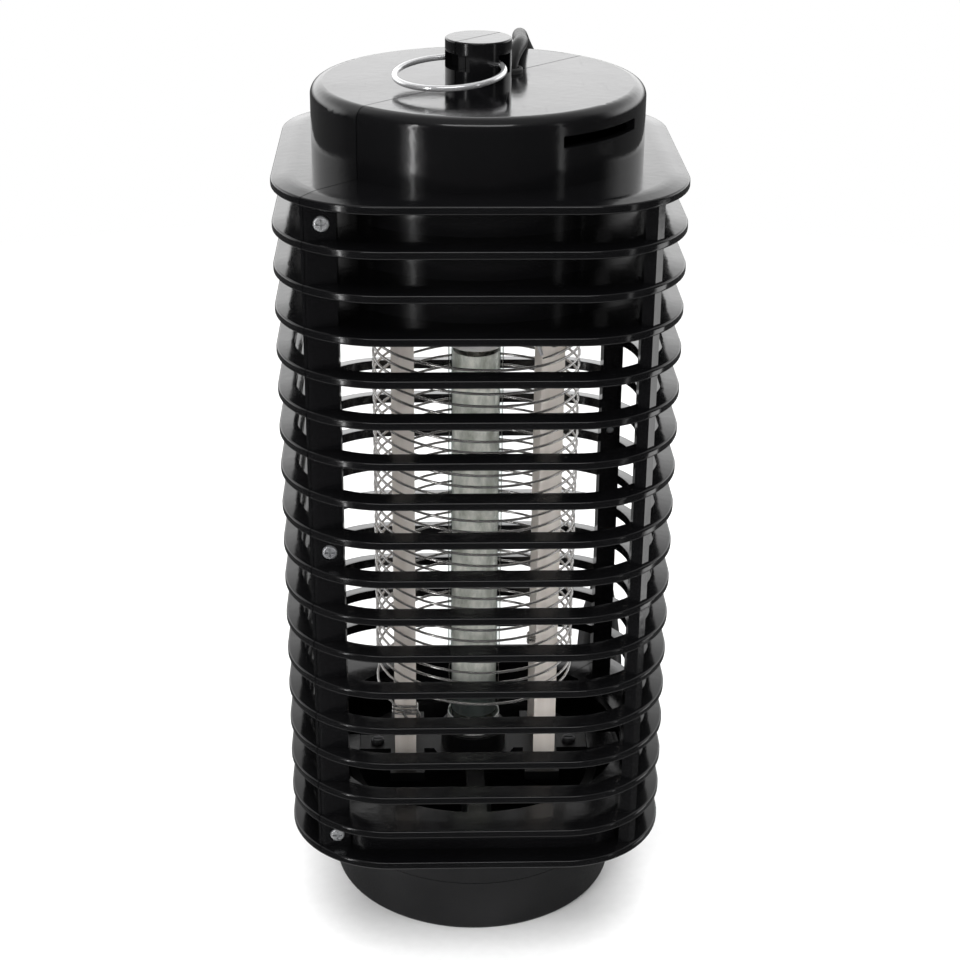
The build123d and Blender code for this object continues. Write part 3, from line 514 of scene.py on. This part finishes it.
# ---- the lamp's coating and the bars' edges ----------------------------------------------------
coat_low, coat_high = (corner.z for corner in box_mm("lamp_phosphor"))
coat_low -= COATING_DROP
coat_in = COATING_R - COATING_WALL
coat_outline = [(coat_in, coat_low), (COATING_R, coat_low), (COATING_R, coat_high), (coat_in, coat_high)]
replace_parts(lathe("lamp_coating", coat_outline, coating), "lamp_phosphor")

bar_edges = nodes["grid_bars"].modifiers.new("soft_edges", "BEVEL")
bar_edges.width = BAR_EDGE_R * MM
bar_edges.segments = 2
bar_edges.limit_method = "ANGLE"


# ---- studio ----------------------------------------------------------------------------------
def graded(world, height, stops):
    """Grey levels by the height of a direction: stops are (height from -1 to 1, level)."""
    return world.tint(world.levels(height, -1.0, 1.0, 0.0, 1.0),
                      [((position + 1) / 2, (level, level, level)) for position, level in stops])


def studio_world(rig):
    """White to the camera. To the object, a bright backdrop behind it and a dim room all round the rest."""
    scene.world = bpy.data.worlds.new("studio")
    scene.world.use_nodes = True
    scene.world.node_tree.nodes.clear()
    world = Nodes(scene.world.node_tree)
    place = world.node("ShaderNodeTexCoord", {"object": rig}).outputs["Object"]
    direction = world.node("ShaderNodeSeparateXYZ", Vector=place).outputs
    behind = world.levels(direction["Y"], BEHIND_START, BEHIND_END, 0.0, 1.0, "SMOOTHSTEP")
    room = graded(world, direction["Z"], ROOM)
    backdrop = graded(world, direction["Z"], BACKDROP)
    around = world.node("ShaderNodeBackground", Color=world.mix_colours(behind, room, backdrop),
                        Strength=WORLD_STRENGTH)
    white = world.node("ShaderNodeBackground", Color=(1, 1, 1, 1))
    seen = world.node("ShaderNodeLightPath").outputs["Is Camera Ray"]
    mixed = world.mix_shaders(seen, around.outputs["Background"], white.outputs["Background"])
    world.node("ShaderNodeOutputWorld", Surface=mixed)


def polar(azimuth, distance, height):
    """A place at an azimuth from the camera's side, positive to the right."""
    turn = math.radians(azimuth)
    return Vector((distance * math.sin(turn), -distance * math.cos(turn), height))


def softbox(name, rig, place, size, radiance, aim=LIGHT_AIM, mirrored=True):
    """A rectangular light carried by the rig and hidden from the camera. It points at the height aim on the
    object's axis, its face has the given radiance, and mirrored says whether it shows in reflections."""
    light = bpy.data.lights.new(name, "AREA")
    light.shape = "RECTANGLE"
    light.size, light.size_y = size
    light.energy = radiance * math.pi * size[0] * size[1]
    made = bpy.data.objects.new(name, light)
    scene.collection.objects.link(made)
    made.parent = rig
    made.location = place
    made.rotation_euler = (Vector((0, 0, aim)) - place).to_track_quat("-Z", "Y").to_euler()
    made.visible_camera = False
    made.visible_glossy = mirrored


def pale_floor():
    """A pale paper floor that turns into the white backdrop away from the object."""
    mesh = bpy.data.meshes.new("floor")
    work = bmesh.new()
    bmesh.ops.create_grid(work, x_segments=1, y_segments=1, size=FLOOR_HALF)
    work.to_mesh(mesh)
    work.free()
    made = bpy.data.objects.new("floor", mesh)
    scene.collection.objects.link(made)
    look = Look("pale_floor")
    paper = look.noise(300.0, 3.0)
    look.set(Base_Color=look.tint(paper, [(0.3, (0.86, 0.86, 0.86)), (0.7, (0.89, 0.89, 0.89))]),
             Roughness=0.9)
    distance = look.node("ShaderNodeVectorMath", {"operation": "LENGTH"})
    look.put(distance.inputs[0], look.place)
    far = look.levels(distance.outputs["Value"], FLOOR_FADE_START, FLOOR_FADE_END, 0.0, 1.0)
    seen = look.node("ShaderNodeLightPath").outputs["Is Camera Ray"]
    white = look.node("ShaderNodeEmission", Strength=1.0)
    mixed = look.mix_shaders(look.maths("MULTIPLY", far, seen), look.shader.outputs["BSDF"],
                             white.outputs["Emission"])
    look.put(look.surface, mixed)
    mesh.materials.append(look.material)
    made.visible_glossy = False
    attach(made, "collection_tray")      # so that the tray still stands on it when it is pulled off


def aimed_camera():
    data = bpy.data.cameras.new("camera")
    data.lens = CAMERA_LENS
    data.sensor_width = CAMERA_SENSOR
    data.shift_x = CAMERA_SHIFT
    made = bpy.data.objects.new("camera", data)
    scene.collection.objects.link(made)
    heading, pitch = math.radians(CAMERA_HEADING), math.radians(CAMERA_PITCH)
    level = math.cos(pitch)
    ahead = Vector((math.sin(heading) * level, math.cos(heading) * level, -math.sin(pitch)))
    turn = ahead.to_track_quat("-Z", "Y").to_matrix() @ Matrix.Rotation(math.radians(CAMERA_ROLL), 3, "Z")
    made.matrix_world = Matrix.Translation(CAMERA_PLACE) @ turn.to_4x4()
    scene.camera = made
    return made


def light_rig(camera):
    """An empty that turns about the upright axis with the camera: its -Y side faces it."""
    rig = bpy.data.objects.new("light_rig", None)
    scene.collection.objects.link(rig)
    follow = rig.constraints.new("LOCKED_TRACK")
    follow.target = camera
    follow.track_axis = "TRACK_NEGATIVE_Y"
    follow.lock_axis = "LOCK_Z"
    return rig


pale_floor()
rig = light_rig(aimed_camera())
studio_world(rig)
softbox("left_strip", rig, polar(-43.5, 0.95, 0.22), size=(0.04, 1.06), radiance=10.0)
softbox("left_glow", rig, polar(-43.5, 0.97, 0.22), size=(0.26, 1.06), radiance=0.55)
softbox("right_strip", rig, polar(57, 0.95, 0.22), size=(0.07, 1.06), radiance=1.1)
softbox("right_side", rig, polar(96, 0.9, -0.195), size=(0.24, 0.33), radiance=2.6, aim=-0.195)
softbox("front_top", rig, polar(0, 0.8, 1.25), size=(0.9, 0.25), radiance=3.8)
softbox("overhead", rig, polar(180, 0.1, 1.6), size=(2.2, 2.2), radiance=3.0, aim=0.1, mirrored=False)
softbox("front_fill", rig, polar(14, 1.35, 0.60), size=(0.6, 0.6), radiance=7.0, mirrored=False)
softbox("left_fill", rig, polar(-38, 1.35, 0.50), size=(0.6, 0.6), radiance=9.0, mirrored=False)
scene.view_settings.view_transform = "Standard"
scene.view_settings.look = "None"
